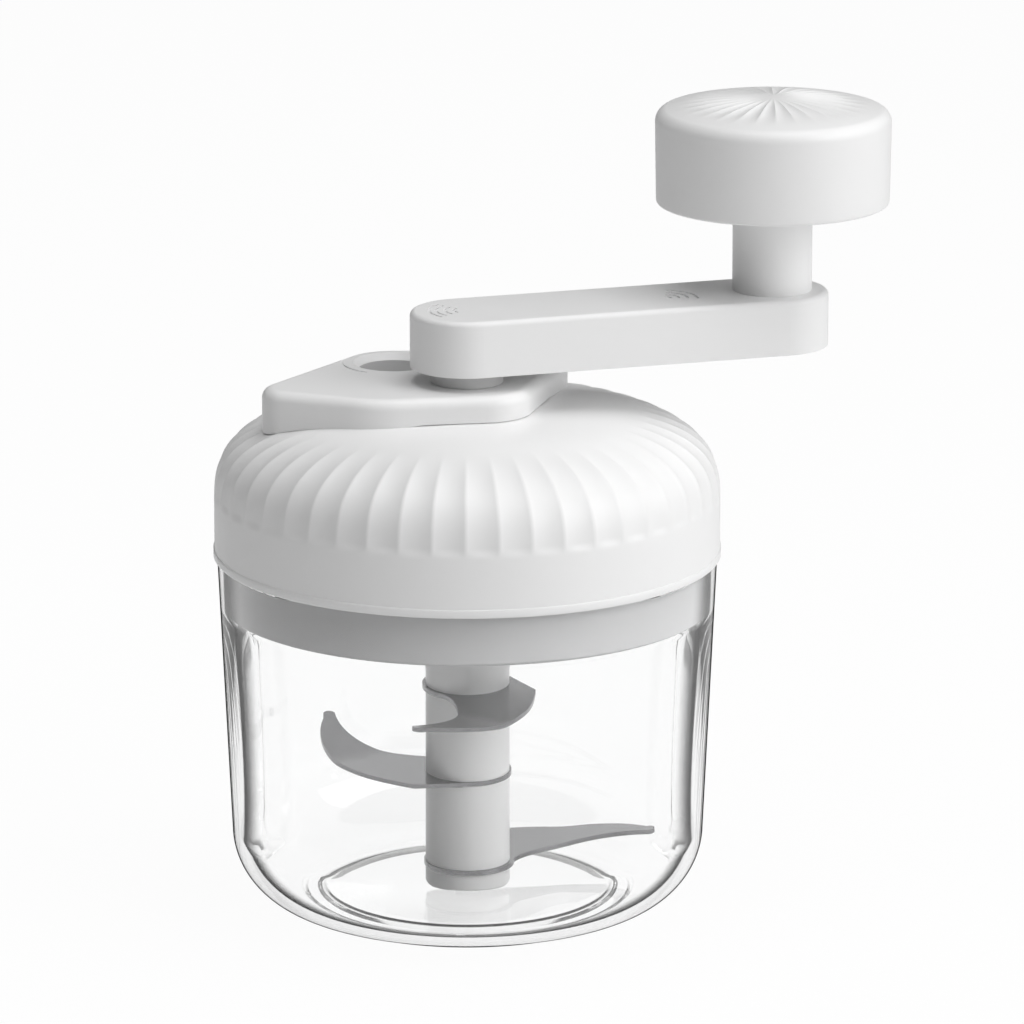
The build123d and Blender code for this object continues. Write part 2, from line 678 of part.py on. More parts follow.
def knob_screw_places():
    """The three screws that hold the knob's base plate, about the knob's own axis."""
    x, y = post_at_arm_end()
    return [(x + 19 * cos(radians(a)), y + 19 * sin(radians(a))) for a in (90, 210, 330)]


def knob_shell():
    """The palm knob's shell with three screw bosses inside."""
    x, y = post_at_arm_end()
    shape = knob_outside(0.0, KNOB_BOTTOM) - knob_outside(KNOB_WALL, KNOB_BOTTOM)
    shape = Pos(x, y, 0) * shape
    block = Pos(x, y, 0) * knob_outside(1.0, KNOB_BOTTOM)
    for px, py in knob_screw_places():
        shape += disc(3.2, KNOB_BOTTOM + 2.2, KNOB_TOP, px, py) & block
        shape -= disc(1.25, KNOB_BOTTOM, 182.0, px, py)
    return shape


def knob_base_plate():
    """The plate that closes the knob, with a boss for its bush."""
    x, y = post_at_arm_end()
    shape = disc(KNOB_RADIUS - KNOB_WALL, KNOB_BOTTOM, KNOB_BOTTOM + 2.2, x, y)
    shape += disc(8.0, KNOB_BOTTOM, 176.0, x, y)
    shape -= disc(5.5, KNOB_BOTTOM, 176.0, x, y)
    for px, py in knob_screw_places():
        shape -= disc(1.4, KNOB_BOTTOM, KNOB_BOTTOM + 2.2, px, py)
        shape -= disc(2.8, KNOB_BOTTOM, KNOB_BOTTOM + 1.2, px, py)
    return shape


def knob_plate_screws():
    """Three screws from below, their heads sunk in the base plate."""
    return [screw(x, y, KNOB_BOTTOM + 1.2, 178.0, head=2.6, height=1.1) for x, y in knob_screw_places()]


# ---- Blade unit ----------------------------------------------------------------------------------
def core_section(bottom, top):
    """The hub's core: a bar with two flats that the blades and spacers slide over."""
    return disc(CORE_RADIUS, bottom, top) & (Pos(0, 0, bottom) * Box(20, CORE_FLATS, top - bottom, align=BASE))


def blade_hub():
    """The hub's head with its hexagonal socket, and the core below it, bored for the spindle."""
    shape = disc(HUB_RADIUS, BLADE_LEVELS["top"] + BLADE_THICKNESS, HUB_TOP)
    shape += core_section(CORE_BOTTOM, BLADE_LEVELS["top"] + BLADE_THICKNESS)
    shape -= hexagon(SOCKET_HEX, SOCKET_BOTTOM, HUB_TOP)
    shape -= disc(4.2, HUB_TOP - 1.0, HUB_TOP)
    shape -= disc(4.5, CORE_BOTTOM, 22.0)
    return shape - disc(SPINDLE_RADIUS + 0.3, CORE_BOTTOM, SPINDLE_TOP + RUNNING)


def hub_bush():
    """The bush in the hub's lower end that turns on the spindle."""
    return tube(4.5, SPINDLE_RADIUS + RUNNING, CORE_BOTTOM, 22.0)


def hub_spacer(lower, upper):
    """A sleeve between two blades, with the core's section inside."""
    bottom = BLADE_LEVELS[lower] + BLADE_THICKNESS
    top = BLADE_LEVELS[upper]
    return disc(HUB_RADIUS, bottom, top) - core_section(bottom, top)


def hub_end_cap():
    """The cap under the lowest blade that holds the stack together."""
    top = BLADE_LEVELS["bottom"]
    shape = disc(HUB_RADIUS, HUB_BOTTOM, top)
    shape = fillet(shape.edges().group_by(Axis.Z)[0], 0.8)
    return shape - core_section(CORE_BOTTOM, top) - disc(SPINDLE_RADIUS + 0.3, HUB_BOTTOM, CORE_BOTTOM)


def blade_plan():
    """A blade's outline with its tip towards +X: swept leading edge, hollow trailing edge and a round collar."""
    crescent = make_face(
        [
            Polyline((0, 0), *BLADE_ROOT),
            Spline(*BLADE_LEADING),
            ThreePointArc(BLADE_LEADING[-1], BLADE_TIP, BLADE_TRAILING[0]),
            Spline(*BLADE_TRAILING),
            Line(BLADE_TRAILING[-1], (0, 0)),
        ]
    )
    return crescent + Pos(BLADE_COLLAR_SHIFT, 0) * Circle(BLADE_COLLAR)


def bent_strip(level):
    """A sheet seen from its side: flat at the hub, then bent to a gentle upward slope."""
    middle = (BEND_START + BEND_END) / 2
    rise = BEND_SLOPE * (BEND_END - BEND_START) / 2
    tip_rise = rise + BEND_SLOPE * (BLADE_REACH - BEND_END)
    low = [(BEND_START, level), (middle, level + rise / 4), (BEND_END, level + rise)]
    high = [(x, z + BLADE_THICKNESS) for x, z in low]
    ends = [(BLADE_REACH, level + tip_rise), (BLADE_REACH, level + tip_rise + BLADE_THICKNESS)]
    section = make_face(
        [
            Plane.XZ * edge
            for edge in (
                Polyline(high[0], (-BLADE_REACH, high[0][1]), (-BLADE_REACH, level), low[0]),
                ThreePointArc(*low),
                Polyline(low[-1], *ends, high[-1]),
                ThreePointArc(*high[::-1]),
            )
        ]
    )
    return extrude(section, BLADE_REACH, both=True)


def blade(name):
    """One blade: the outline cut from a sheet that is flat at the hub and slopes up towards the tip."""
    level = BLADE_LEVELS[name]
    tip = Rot(0, 0, BLADE_TIPS[name])
    strip = tip * Rot(0, 0, BEND_TURN) * bent_strip(level)
    outline = tip * prism(blade_plan(), level - 1.0, level + 10.0)
    return (strip & outline) - core_section(level - 1.0, level + 2.0)


# ---- Write the parts -----------------------------------------------------------------------------
def all_parts():
    """Every piece by name."""
    parts = {
        "bowl": bowl(),
        "bowl_spindle": bowl_spindle(),
        "lid_shell": lid_shell(),
        "rim_gasket": rim_gasket(),
        "top_housing": top_housing(),
        "housing_screws": housing_screws(),
        "feed_chute": feed_chute(),
        "inner_cover": inner_cover(),
        "cover_screws": cover_screws(),
        "gear_tray": gear_tray(),
        "tray_screws": tray_screws(),
        "planet_pins": planet_pins(),
        "planet_clips": planet_clips(),
        "lower_bush": lower_bush(),
        "crank_bush": crank_bush(),
        "crank_shaft": crank_shaft(),
        "shaft_clip": shaft_clip(),
        "ring_gear": ring_gear(),
        "crank_screw": crank_screw(),
        "crank_arm": crank_arm(),
        "arm_cover": arm_cover(),
        "arm_cover_screws": arm_cover_screws(),
        "knob_axle": knob_axle(),
        "knob_post": knob_post(),
        "knob_washer": knob_washer(),
        "knob_screw": knob_screw(),
        "knob_bush": knob_bush(),
        "knob_shell": knob_shell(),
        "knob_base_plate": knob_base_plate(),
        "knob_plate_screws": knob_plate_screws(),
        "sun_gear": sun_gear(),
        "drive_shaft": drive_shaft(),
        "drive_dog": drive_dog(),
        "blade_hub": blade_hub(),
        "hub_bush": hub_bush(),
        "hub_spacer_lower": hub_spacer("bottom", "middle"),
        "hub_spacer_upper": hub_spacer("middle", "top"),
        "hub_end_cap": hub_end_cap(),
    }
    for number in range(PLANETS):
        parts[f"planet_gear_{number + 1}"] = planet_gear(number)
    for name in BLADE_LEVELS:
        parts[f"blade_{name}"] = blade(name)
    return parts


os.makedirs("parts", exist_ok=True)
for node, shape in all_parts().items():
    solid = Compound(children=shape) if isinstance(shape, list) else shape
    export_step(solid, f"parts/{node}.step")
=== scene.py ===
"""Looks of the hand-cranked food chopper: clear bowl, fluted lid, crank with a palm knob, and steel blades.

Shapes are written in millimetres and turned into metres where each mesh is made. Places come from the frame.
"""
import json
from math import atan2, cos, degrees, pi, radians, sin

import bmesh
import bpy
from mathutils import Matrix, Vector


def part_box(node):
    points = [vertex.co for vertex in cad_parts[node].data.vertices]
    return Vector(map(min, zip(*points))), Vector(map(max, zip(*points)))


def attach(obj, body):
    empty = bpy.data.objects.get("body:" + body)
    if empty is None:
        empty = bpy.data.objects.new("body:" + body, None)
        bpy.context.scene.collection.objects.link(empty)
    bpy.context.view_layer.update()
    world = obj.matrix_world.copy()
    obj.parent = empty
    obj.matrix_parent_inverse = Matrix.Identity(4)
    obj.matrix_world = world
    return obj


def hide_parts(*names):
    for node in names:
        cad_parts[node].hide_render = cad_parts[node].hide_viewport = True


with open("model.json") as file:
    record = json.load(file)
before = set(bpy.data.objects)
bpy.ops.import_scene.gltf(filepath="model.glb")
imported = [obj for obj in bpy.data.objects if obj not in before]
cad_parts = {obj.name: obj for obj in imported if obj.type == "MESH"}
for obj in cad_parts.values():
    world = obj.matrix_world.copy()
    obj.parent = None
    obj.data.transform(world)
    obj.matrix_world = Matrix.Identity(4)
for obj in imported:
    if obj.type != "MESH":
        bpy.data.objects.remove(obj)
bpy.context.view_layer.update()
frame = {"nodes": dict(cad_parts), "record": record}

MM = 0.001


def low_mm(node):
    """A CAD node's lowest corner, in millimetres."""
    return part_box(node)[0] / MM


def high_mm(node):
    """A CAD node's highest corner, in millimetres."""
    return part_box(node)[1] / MM


# ---- Driving dimensions, in millimetres ----------------------------------------------------------
# Values with low_mm or high_mm are read from the frame; the others are set here.
RIM_TOP = high_mm("bowl").z
RIM_EDGE = 85.6
CORNER_Z = 19.0
FOOT_RECESS = 2.4
FOOT_INNER = 36.6
FOOT_OUTER = 38.9
OUTER_CORNER = 38.0
OUTER_CORNER_RADIUS = 18.3
WALL_OUTER_LOW = 56.3
WALL_OUTER = 59.38
INNER_CORNER = 37.3
INNER_CORNER_RADIUS = 15.9
WALL_INNER_LOW = 53.2
TAPER_WIDTH = 3.95
TAPER_HEIGHT = 54.5
TAPER_POWER = 1.5
TAPER_STEPS = 80
FLOOR_Z = 3.1
FLOOR_RAISED = 3.5
SPINDLE_HOLE = 3.02
SPINDLE_HOLE_BOTTOM = 3.4
# The next three are azimuths in degrees.
RIB_PLACES = (14.0, 166.0)
RIB_FLAT = 4.0
RIB_EDGE = 22.0
# The ribs' nose, in millimetres again; their foot and top are spans of height.
RIB_NOSE = 51.9
RIB_NOSE_Z = 59.0
RIB_LEAN = 0.055
RIB_FOOT = (3.4, 10.0)
RIB_TOP = (55.0, 67.0)
RIBS_BEYOND = 40.0
LID_RADIUS = 60.0
LID_WALL = 2.5
DOME_START = 98.0
DOME_POWER = 3.2
DOME_TOP = 121.8
DOME_STEPS = 84
DOME_STEPS_INSIDE = 16
SEAL_RADIUS = 58.95
SEAL_TOP = 87.6
BEAD_RADIUS = 60.28
BEAD_TOP = 87.8
FLUTE_CENTRE = 38.0
FLUTES = 48
FLUTE_DEPTH = 0.5
CHUTE = (low_mm("feed_chute") + high_mm("feed_chute")) / 2
CHUTE_OUTER = (high_mm("feed_chute").x - low_mm("feed_chute").x) / 2
KNOB = (low_mm("knob_shell") + high_mm("knob_shell")) / 2
KNOB_RADIUS = (high_mm("knob_shell").x - low_mm("knob_shell").x) / 2
KNOB_BOTTOM = low_mm("knob_shell").z
KNOB_TOP = high_mm("knob_shell").z
KNOB_FILLET = 3.2
KNOB_RAYS = 28
KNOB_RAY_DEPTH = 0.42
KNOB_OPENING = 25.75
KNOB_FOOT_FILLET = 0.8
KNOB_DRAFT = 0.3
KNOB_CROWN_RISE = 2.6
KNOB_CROWN_POWER = 2.2
KNOB_CROWN_STEPS = 40


# ---- Mesh helpers --------------------------------------------------------------------------------
def make_object(name, vertices, faces, body, sharp=32.0):
    """A smooth-shaded mesh object from millimetre points, riding on a body."""
    mesh = bpy.data.meshes.new(name)
    mesh.from_pydata([(x * MM, y * MM, z * MM) for x, y, z in vertices], [], faces)
    mesh.validate()
    tidy = bmesh.new()
    tidy.from_mesh(mesh)
    bmesh.ops.recalc_face_normals(tidy, faces=tidy.faces)
    tidy.to_mesh(mesh)
    tidy.free()
    piece = bpy.data.objects.new(name, mesh)
    bpy.context.scene.collection.objects.link(piece)
    smooth(piece, sharp)
    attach(piece, body)
    return piece


def smooth(piece, sharp=32.0):
    """Smooth shading that keeps edges sharper than an angle crisp."""
    piece.data.shade_smooth()
    piece.data.set_sharp_from_angle(angle=radians(sharp))


def lathe(name, profile, segments, body, centre=(0.0, 0.0), reshape=None, sharp=32.0):
    """A turned solid from a closed profile of (radius, height) points; reshape may move its points."""
    vertices, rows, faces = [], [], []
    for index, (radius, height) in enumerate(profile):
        if radius < 1e-6:
            rows.append([len(vertices)] * segments)
            vertices.append((centre[0], centre[1], height))
            continue
        row = []
        for k in range(segments):
            angle = 2 * pi * k / segments
            r, z = reshape(index, radius, height, angle) if reshape else (radius, height)
            row.append(len(vertices))
            vertices.append((centre[0] + r * cos(angle), centre[1] + r * sin(angle), z))
        rows.append(row)
    for row, above in zip(rows, rows[1:] + rows[:1]):
        if row[0] == row[1] and above[0] == above[1]:
            continue
        for k in range(segments):
            n = (k + 1) % segments
            corners = [row[k], row[n], above[n], above[k]]
            unique = [v for i, v in enumerate(corners) if v not in corners[:i]]
            if len(unique) > 2:
                faces.append(unique)
    return make_object(name, vertices, faces, body, sharp)


def drill(piece, x, y, radius, bottom, top):
    """Cuts an upright round hole through a piece."""
    bpy.ops.mesh.primitive_cylinder_add(
        vertices=96,
        radius=radius * MM,
        depth=(top - bottom) * MM,
        location=(x * MM, y * MM, (top + bottom) / 2 * MM),
    )
    cutter = bpy.context.object
    cut = piece.modifiers.new("hole", "BOOLEAN")
    cut.object = cutter
    cut.operation = "DIFFERENCE"
    cut.solver = "EXACT"
    graph = bpy.context.evaluated_depsgraph_get()
    holed = bpy.data.meshes.new_from_object(piece.evaluated_get(graph))
    piece.modifiers.clear()
    piece.data = holed
    bpy.data.objects.remove(cutter)


def arc(centre, radius, start, end, steps):
    """Points of a circular arc in a profile, from one angle to another in degrees."""
    turns = [radians(start + (end - start) * k / steps) for k in range(steps + 1)]
    return [(centre[0] + radius * cos(t), centre[1] + radius * sin(t)) for t in turns]


def straight(start, end, steps):
    """Evenly spaced points from just after start to end."""
    shares = [(k + 1) / steps for k in range(steps)]
    return [(start[0] + (end[0] - start[0]) * s, start[1] + (end[1] - start[1]) * s) for s in shares]


def ease(value, low, high):
    """0 below low, 1 above high and a smooth rise between."""
    share = min(1.0, max(0.0, (value - low) / (high - low)))
    return share * share * (3 - 2 * share)


# ---- Materials -----------------------------------------------------------------------------------
PLASTIC_IOR = 1.49
CLEAR_IOR = 1.5
LEVEL_ABOVE = 0.93
UPRIGHT_BELOW = 0.7
# Facing ranges and strengths of the clear plastic's painted dark outlines: on the outer skin, and inside the
# walls.
SKIM_OUTSIDE = (0.85, 0.93)
PAINTED_OUTLINE_DEPTH = 1.0
SKIM_WITHIN = (0.217, 0.2546)
SKIM_END = (0.2546, 0.2585)
PAINTED_INNER_LINE_DEPTH = 1.0


def new_material(name):
    """An empty node material and its Principled shader."""
    material = bpy.data.materials.new(name)
    material.use_nodes = True
    nodes = material.node_tree.nodes
    shader = nodes["Principled BSDF"]
    return material, nodes, material.node_tree.links, shader


def add_noise(nodes, links, scale, detail=3.0, stretch=(1, 1, 1)):
    """Noise in the object's own coordinates, stretched along an axis where asked."""
    place = nodes.new("ShaderNodeTexCoord")
    mapping = nodes.new("ShaderNodeMapping")
    mapping.inputs["Scale"].default_value = stretch
    noise = nodes.new("ShaderNodeTexNoise")
    noise.inputs["Scale"].default_value = scale
    noise.inputs["Detail"].default_value = detail
    links.new(place.outputs["Object"], mapping.inputs["Vector"])
    links.new(mapping.outputs["Vector"], noise.inputs["Vector"])
    return noise


def spread(nodes, links, source, low, high):
    """Maps a noise output onto a range."""
    ramp = nodes.new("ShaderNodeMapRange")
    ramp.inputs["From Min"].default_value = 0.3
    ramp.inputs["From Max"].default_value = 0.7
    ramp.inputs["To Min"].default_value = low
    ramp.inputs["To Max"].default_value = high
    links.new(source, ramp.inputs["Value"])
    return ramp.outputs["Result"]


def add_bump(nodes, links, shader, height, strength, distance):
    """A bump from a height output."""
    bump = nodes.new("ShaderNodeBump")
    bump.inputs["Strength"].default_value = strength
    bump.inputs["Distance"].default_value = distance
    links.new(height, bump.inputs["Height"])
    links.new(bump.outputs["Normal"], shader.inputs["Normal"])


def moulded_plastic(name, colour, roughness, vary=0.012):
    """Moulded plastic: faint mottling, uneven gloss and a fine moulded grain."""
    material, nodes, links, shader = new_material(name)
    mottle = add_noise(nodes, links, 60.0)
    mix = nodes.new("ShaderNodeMix")
    mix.data_type = "RGBA"
    mix.inputs["A"].default_value = (*[c * (1 - vary) for c in colour], 1)
    mix.inputs["B"].default_value = (*[min(1.0, c * (1 + vary)) for c in colour], 1)
    links.new(mottle.outputs["Fac"], mix.inputs["Factor"])
    links.new(mix.outputs["Result"], shader.inputs["Base Color"])
    gloss = add_noise(nodes, links, 240.0)
    uneven = spread(nodes, links, gloss.outputs["Fac"], roughness * 0.96, roughness * 1.04)
    links.new(uneven, shader.inputs["Roughness"])
    grain = add_noise(nodes, links, 2600.0, detail=2.0)
    add_bump(nodes, links, shader, grain.outputs["Fac"], 0.03, 0.00002)
    shader.inputs["IOR"].default_value = PLASTIC_IOR
    return material


def combine(nodes, links, operation, first, second):
    """A maths node on two values; the second may be a plain number."""
    node = nodes.new("ShaderNodeMath")
    node.operation = operation
    links.new(first, node.inputs[0])
    if isinstance(second, float):
        node.inputs[1].default_value = second
    else:
        links.new(second, node.inputs[1])
    return node.outputs["Value"]


def grazing(nodes, links, low, high):
    """0 to 1 as a surface turns from one facing value to another."""
    facing = nodes.new("ShaderNodeLayerWeight")
    facing.inputs["Blend"].default_value = 0.5
    ramp = nodes.new("ShaderNodeMapRange")
    ramp.interpolation_type = "SMOOTHSTEP"
    ramp.inputs["From Min"].default_value = low
    ramp.inputs["From Max"].default_value = high
    links.new(facing.outputs["Facing"], ramp.inputs["Value"])
    return ramp.outputs["Result"]


def inner_wall(nodes, links, place):
    """1 where a ray inside the plastic meets the bowl's inner wall, and 0 on its outer wall and its floor."""
    outward = nodes.new("ShaderNodeVectorMath")
    outward.operation = "MULTIPLY"
    outward.inputs[1].default_value = (1, 1, 0)
    links.new(place.outputs["Position"], outward.inputs[0])
    turn = nodes.new("ShaderNodeVectorMath")
    turn.operation = "DOT_PRODUCT"
    links.new(place.outputs["Normal"], turn.inputs[0])
    links.new(outward.outputs["Vector"], turn.inputs[1])
    inner = combine(nodes, links, "GREATER_THAN", turn.outputs["Value"], 0.0)
    parts = nodes.new("ShaderNodeSeparateXYZ")
    links.new(place.outputs["Normal"], parts.inputs["Vector"])
    level = nodes.new("ShaderNodeMath")
    level.operation = "ABSOLUTE"
    links.new(parts.outputs["Z"], level.inputs[0])
    ramp = nodes.new("ShaderNodeMapRange")
    ramp.interpolation_type = "SMOOTHSTEP"
    ramp.inputs["From Min"].default_value = LEVEL_ABOVE
    ramp.inputs["From Max"].default_value = UPRIGHT_BELOW
    links.new(level.outputs["Value"], ramp.inputs["Value"])
    return combine(nodes, links, "MULTIPLY", ramp.outputs["Result"], inner)


def clear_plastic():
    """Clear moulded plastic with painted dark outlines, standing in for the dark surroundings that clear
    things show at their edges in front of a white ground.

    A dark refraction is painted in where light skims the skin from outside, and just short of total
    reflection inside the walls.
    """
    material, nodes, links, shader = new_material("clear_plastic")
    shader.inputs["Transmission Weight"].default_value = 1.0
    shader.inputs["IOR"].default_value = CLEAR_IOR
    shader.inputs["Specular IOR Level"].default_value = 0.05
    shader.inputs["Roughness"].default_value = 0.0
    cloud = add_noise(nodes, links, 35.0)
    tint = nodes.new("ShaderNodeMix")
    tint.data_type = "RGBA"
    tint.inputs["A"].default_value = (0.99, 0.993, 0.993, 1)
    tint.inputs["B"].default_value = (1, 1, 1, 1)
    links.new(cloud.outputs["Fac"], tint.inputs["Factor"])
    links.new(tint.outputs["Result"], shader.inputs["Base Color"])
    side = nodes.new("ShaderNodeNewGeometry")
    outside = combine(nodes, links, "MULTIPLY", grazing(nodes, links, *SKIM_OUTSIDE), PAINTED_OUTLINE_DEPTH)
    rise = grazing(nodes, links, *SKIM_WITHIN)
    fall = grazing(nodes, links, *SKIM_END)
    band = combine(nodes, links, "SUBTRACT", rise, fall)
    # The painted dark line inside the walls is kept to the bowl's inner wall.
    band = combine(nodes, links, "MULTIPLY", band, inner_wall(nodes, links, side))
    within = combine(nodes, links, "MULTIPLY", band, PAINTED_INNER_LINE_DEPTH)
    pick = nodes.new("ShaderNodeMix")
    links.new(side.outputs["Backfacing"], pick.inputs["Factor"])
    links.new(outside, pick.inputs["A"])
    links.new(within, pick.inputs["B"])
    # Painted dark outlines: a near-black refraction mixed in where the surface is seen at a grazing angle.
    dark = nodes.new("ShaderNodeBsdfRefraction")
    dark.inputs["Color"].default_value = (0.02, 0.02, 0.02, 1)
    dark.inputs["IOR"].default_value = CLEAR_IOR
    dark.inputs["Roughness"].default_value = 0.0
    painted_outlines = nodes.new("ShaderNodeMixShader")
    links.new(pick.outputs["Result"], painted_outlines.inputs["Fac"])
    links.new(shader.outputs["BSDF"], painted_outlines.inputs[1])
    links.new(dark.outputs["BSDF"], painted_outlines.inputs[2])
    lamps = nodes.new("ShaderNodeLightPath")
    open_to_lamps = nodes.new("ShaderNodeBsdfTransparent")
    open_to_lamps.inputs["Color"].default_value = (0.92, 0.92, 0.92, 1)
    mix = nodes.new("ShaderNodeMixShader")
    links.new(lamps.outputs["Is Shadow Ray"], mix.inputs["Fac"])
    links.new(painted_outlines.outputs["Shader"], mix.inputs[1])
    links.new(open_to_lamps.outputs["BSDF"], mix.inputs[2])
    links.new(mix.outputs["Shader"], nodes["Material Output"].inputs["Surface"])
    return material


def brushed_steel(name, colour, roughness, stretch=(1, 1, 30)):
    """Steel with fine grinding lines and uneven polish."""
    material, nodes, links, shader = new_material(name)
    shader.inputs["Metallic"].default_value = 1.0
    tone = add_noise(nodes, links, 90.0)
    mix = nodes.new("ShaderNodeMix")
    mix.data_type = "RGBA"
    mix.inputs["A"].default_value = (*[c * 0.93 for c in colour], 1)
    mix.inputs["B"].default_value = (*[min(1.0, c * 1.05) for c in colour], 1)
    links.new(tone.outputs["Fac"], mix.inputs["Factor"])
    links.new(mix.outputs["Result"], shader.inputs["Base Color"])
    lines = add_noise(nodes, links, 900.0, stretch=stretch)
    uneven = spread(nodes, links, lines.outputs["Fac"], roughness * 0.8, roughness * 1.3)
    links.new(uneven, shader.inputs["Roughness"])
    add_bump(nodes, links, shader, lines.outputs["Fac"], 0.06, 0.00003)
    return material


WHITE = moulded_plastic("white_plastic", (0.83, 0.83, 0.83), 0.3)
WHITE_HUB = moulded_plastic("white_hub_plastic", (0.8, 0.8, 0.8), 0.3)
GREY = moulded_plastic("grey_plastic", (0.69, 0.69, 0.695), 0.36)
SHAFT_GREY = moulded_plastic("shaft_nylon", (0.62, 0.62, 0.62), 0.45)
ACETAL = moulded_plastic("natural_acetal", (0.78, 0.77, 0.72), 0.42)
BUSH = moulded_plastic("bush_acetal", (0.7, 0.69, 0.64), 0.4)
SILICONE = moulded_plastic("seal_silicone", (0.72, 0.72, 0.72), 0.6)
STEEL = brushed_steel("bright_steel", (0.62, 0.62, 0.62), 0.25)
# The blade steel's colour is set dark as painted reflection: it stands in for the dim surroundings that the
# blades mirror.
BLADE_PAINTED_DIM = brushed_steel("blade_steel", (0.22, 0.22, 0.225), 0.2, stretch=(1, 30, 1))
CLEAR = clear_plastic()
BY_SLOT = {
    "clear_bowl": CLEAR,
    "white_shell": WHITE,
    "grey_cover": GREY,
    "white_hub": WHITE_HUB,
    "shaft_grey": SHAFT_GREY,
    "blade_steel": BLADE_PAINTED_DIM,
    "bright_steel": STEEL,
    "gear_acetal": ACETAL,
    "bush_acetal": BUSH,
    "seal_silicone": SILICONE,
}


def paint(piece, material):
    """Gives a piece one material."""
    piece.data.materials.clear()
    piece.data.materials.append(material)
    return piece


def paint_frame():
    """Gives every CAD node the material of its slot, with smooth shading."""
    for entry in frame["record"]["subparts"]:
        node = frame["nodes"][entry["node"]]
        paint(node, BY_SLOT[entry["material_slot"]])
        smooth(node)


# ---- Bowl ----------------------------------------------------------------------------------------
def rib_share(angle):
    """How much of the rib stands at an azimuth: 1 on its nose and 0 beyond its edges."""
    away = min(abs((degrees(angle) - side + 180) % 360 - 180) for side in RIB_PLACES)
    return 1 - ease(away, RIB_FLAT, RIB_EDGE)


def rib_depth(height, radius):
    """How far the rib's nose stands off the wall at a height: it fades out at both ends."""
    nose = RIB_NOSE - (RIB_NOSE_Z - height) * RIB_LEAN
    return max(0.0, radius - nose) * ease(height, *RIB_FOOT) * (1 - ease(height, *RIB_TOP))


def bowl():
    """The clear bowl: ring foot, rounded corner, tapering wall with no ledge, and two ribs inside."""
    outside = [(0, FOOT_RECESS), (31.0, FOOT_RECESS), (34.9, FOOT_RECESS), (35.3, 2.35), (36.3, 0.12)]
    outside += [(FOOT_INNER, 0), (FOOT_OUTER, 0), (39.3, 0.08), (40.6, 0.85)]
    outside += arc((OUTER_CORNER, CORNER_Z), OUTER_CORNER_RADIUS, -80.0, 0.0, 22)
    outside += straight((WALL_OUTER_LOW, CORNER_Z), (WALL_OUTER, RIM_EDGE), 16)
    outside += [(59.1, RIM_TOP), (57.7, RIM_TOP)]
    inside = [(57.32, RIM_EDGE), (57.25, 79.5), (57.18, 74.5)]
    for k in range(TAPER_STEPS + 1):
        share = 1 - k / TAPER_STEPS
        radius = WALL_INNER_LOW + TAPER_WIDTH * share ** TAPER_POWER
        inside.append((radius, CORNER_Z + TAPER_HEIGHT * share))
    inside += arc((INNER_CORNER, CORNER_Z), INNER_CORNER_RADIUS, 0.0, -90.0, 30)[1:]
    inside += [(35.7, FLOOR_Z), (35.2, 3.13), (34.9, 3.2), (34.6, 3.3), (34.3, 3.4), (34.0, 3.47)]
    inside += [(33.5, FLOOR_RAISED), (3.4, FLOOR_RAISED), (SPINDLE_HOLE, FLOOR_RAISED)]
    inside += [(SPINDLE_HOLE, SPINDLE_HOLE_BOTTOM), (0, SPINDLE_HOLE_BOTTOM)]
    first_inside = len(outside)

    def reshape(index, radius, height, angle):
        if index < first_inside or height > RIB_TOP[1] or radius < RIBS_BEYOND:
            return radius, height
        return radius - rib_share(angle) * rib_depth(height, radius), height

    piece = lathe("bowl_clear", outside + inside, 360, "bowl", reshape=reshape, sharp=28.0)
    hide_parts("bowl")
    return paint(piece, CLEAR)


# ---- Lid -----------------------------------------------------------------------------------------
def dome_point(share, shrink):
    """A point of the dome's superellipse, from 0 at the spring line to 1 at the crown."""
    wide = LID_RADIUS - shrink
    rise = DOME_TOP - DOME_START - shrink
    turn = share * pi / 2
    power = 2 / DOME_POWER
    return wide * cos(turn) ** power, DOME_START + rise * sin(turn) ** power


def flute_strength(radius, height):
    """How deep the flutes are at a point: a quick start low down and a long fade towards the crown."""
    return ease(height, 100.0, 102.4) * (1 - ease(LID_RADIUS - radius, 5.5, 22.0))


def lid():
    """The domed lid with concave flutes that meet in crisp arrises."""
    outside = [(SEAL_RADIUS, RIM_TOP + 0.1), (60.15, RIM_TOP + 0.1), (BEAD_RADIUS, RIM_TOP + 0.3)]
    outside += [(BEAD_RADIUS, BEAD_TOP), (60.18, 88.0)]
    outside += [(LID_RADIUS, 88.12), (LID_RADIUS, 92.0), (LID_RADIUS, 96.0)]
    outside += [dome_point((k / DOME_STEPS) ** 1.6, 0.0) for k in range(DOME_STEPS)] + [(0, DOME_TOP)]
    inside = [dome_point(1 - k / DOME_STEPS_INSIDE, LID_WALL) for k in range(1, DOME_STEPS_INSIDE + 1)]
    inside += [(LID_RADIUS - LID_WALL, SEAL_TOP), (SEAL_RADIUS, SEAL_TOP)]
    profile = outside + [(0, DOME_TOP - LID_WALL)] + inside
    last_outside = len(outside)

    def reshape(index, radius, height, angle):
        strength = flute_strength(radius, height) if index < last_outside else 0.0
        if strength <= 0.0:
            return radius, height
        across = (degrees(angle) * FLUTES / 360.0) % 1.0 * 2 - 1
        depth = FLUTE_DEPTH * strength * (1 - across * across)
        lean = atan2(height - DOME_START, radius - FLUTE_CENTRE)
        return radius - depth * cos(lean), height - depth * sin(lean)

    piece = lathe("lid_fluted", profile, FLUTES * 14, "lid", reshape=reshape, sharp=38.0)
    drill(piece, CHUTE.x, CHUTE.y, CHUTE_OUTER, 110.0, 130.0)
    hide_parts("lid_shell")
    return paint(piece, WHITE)


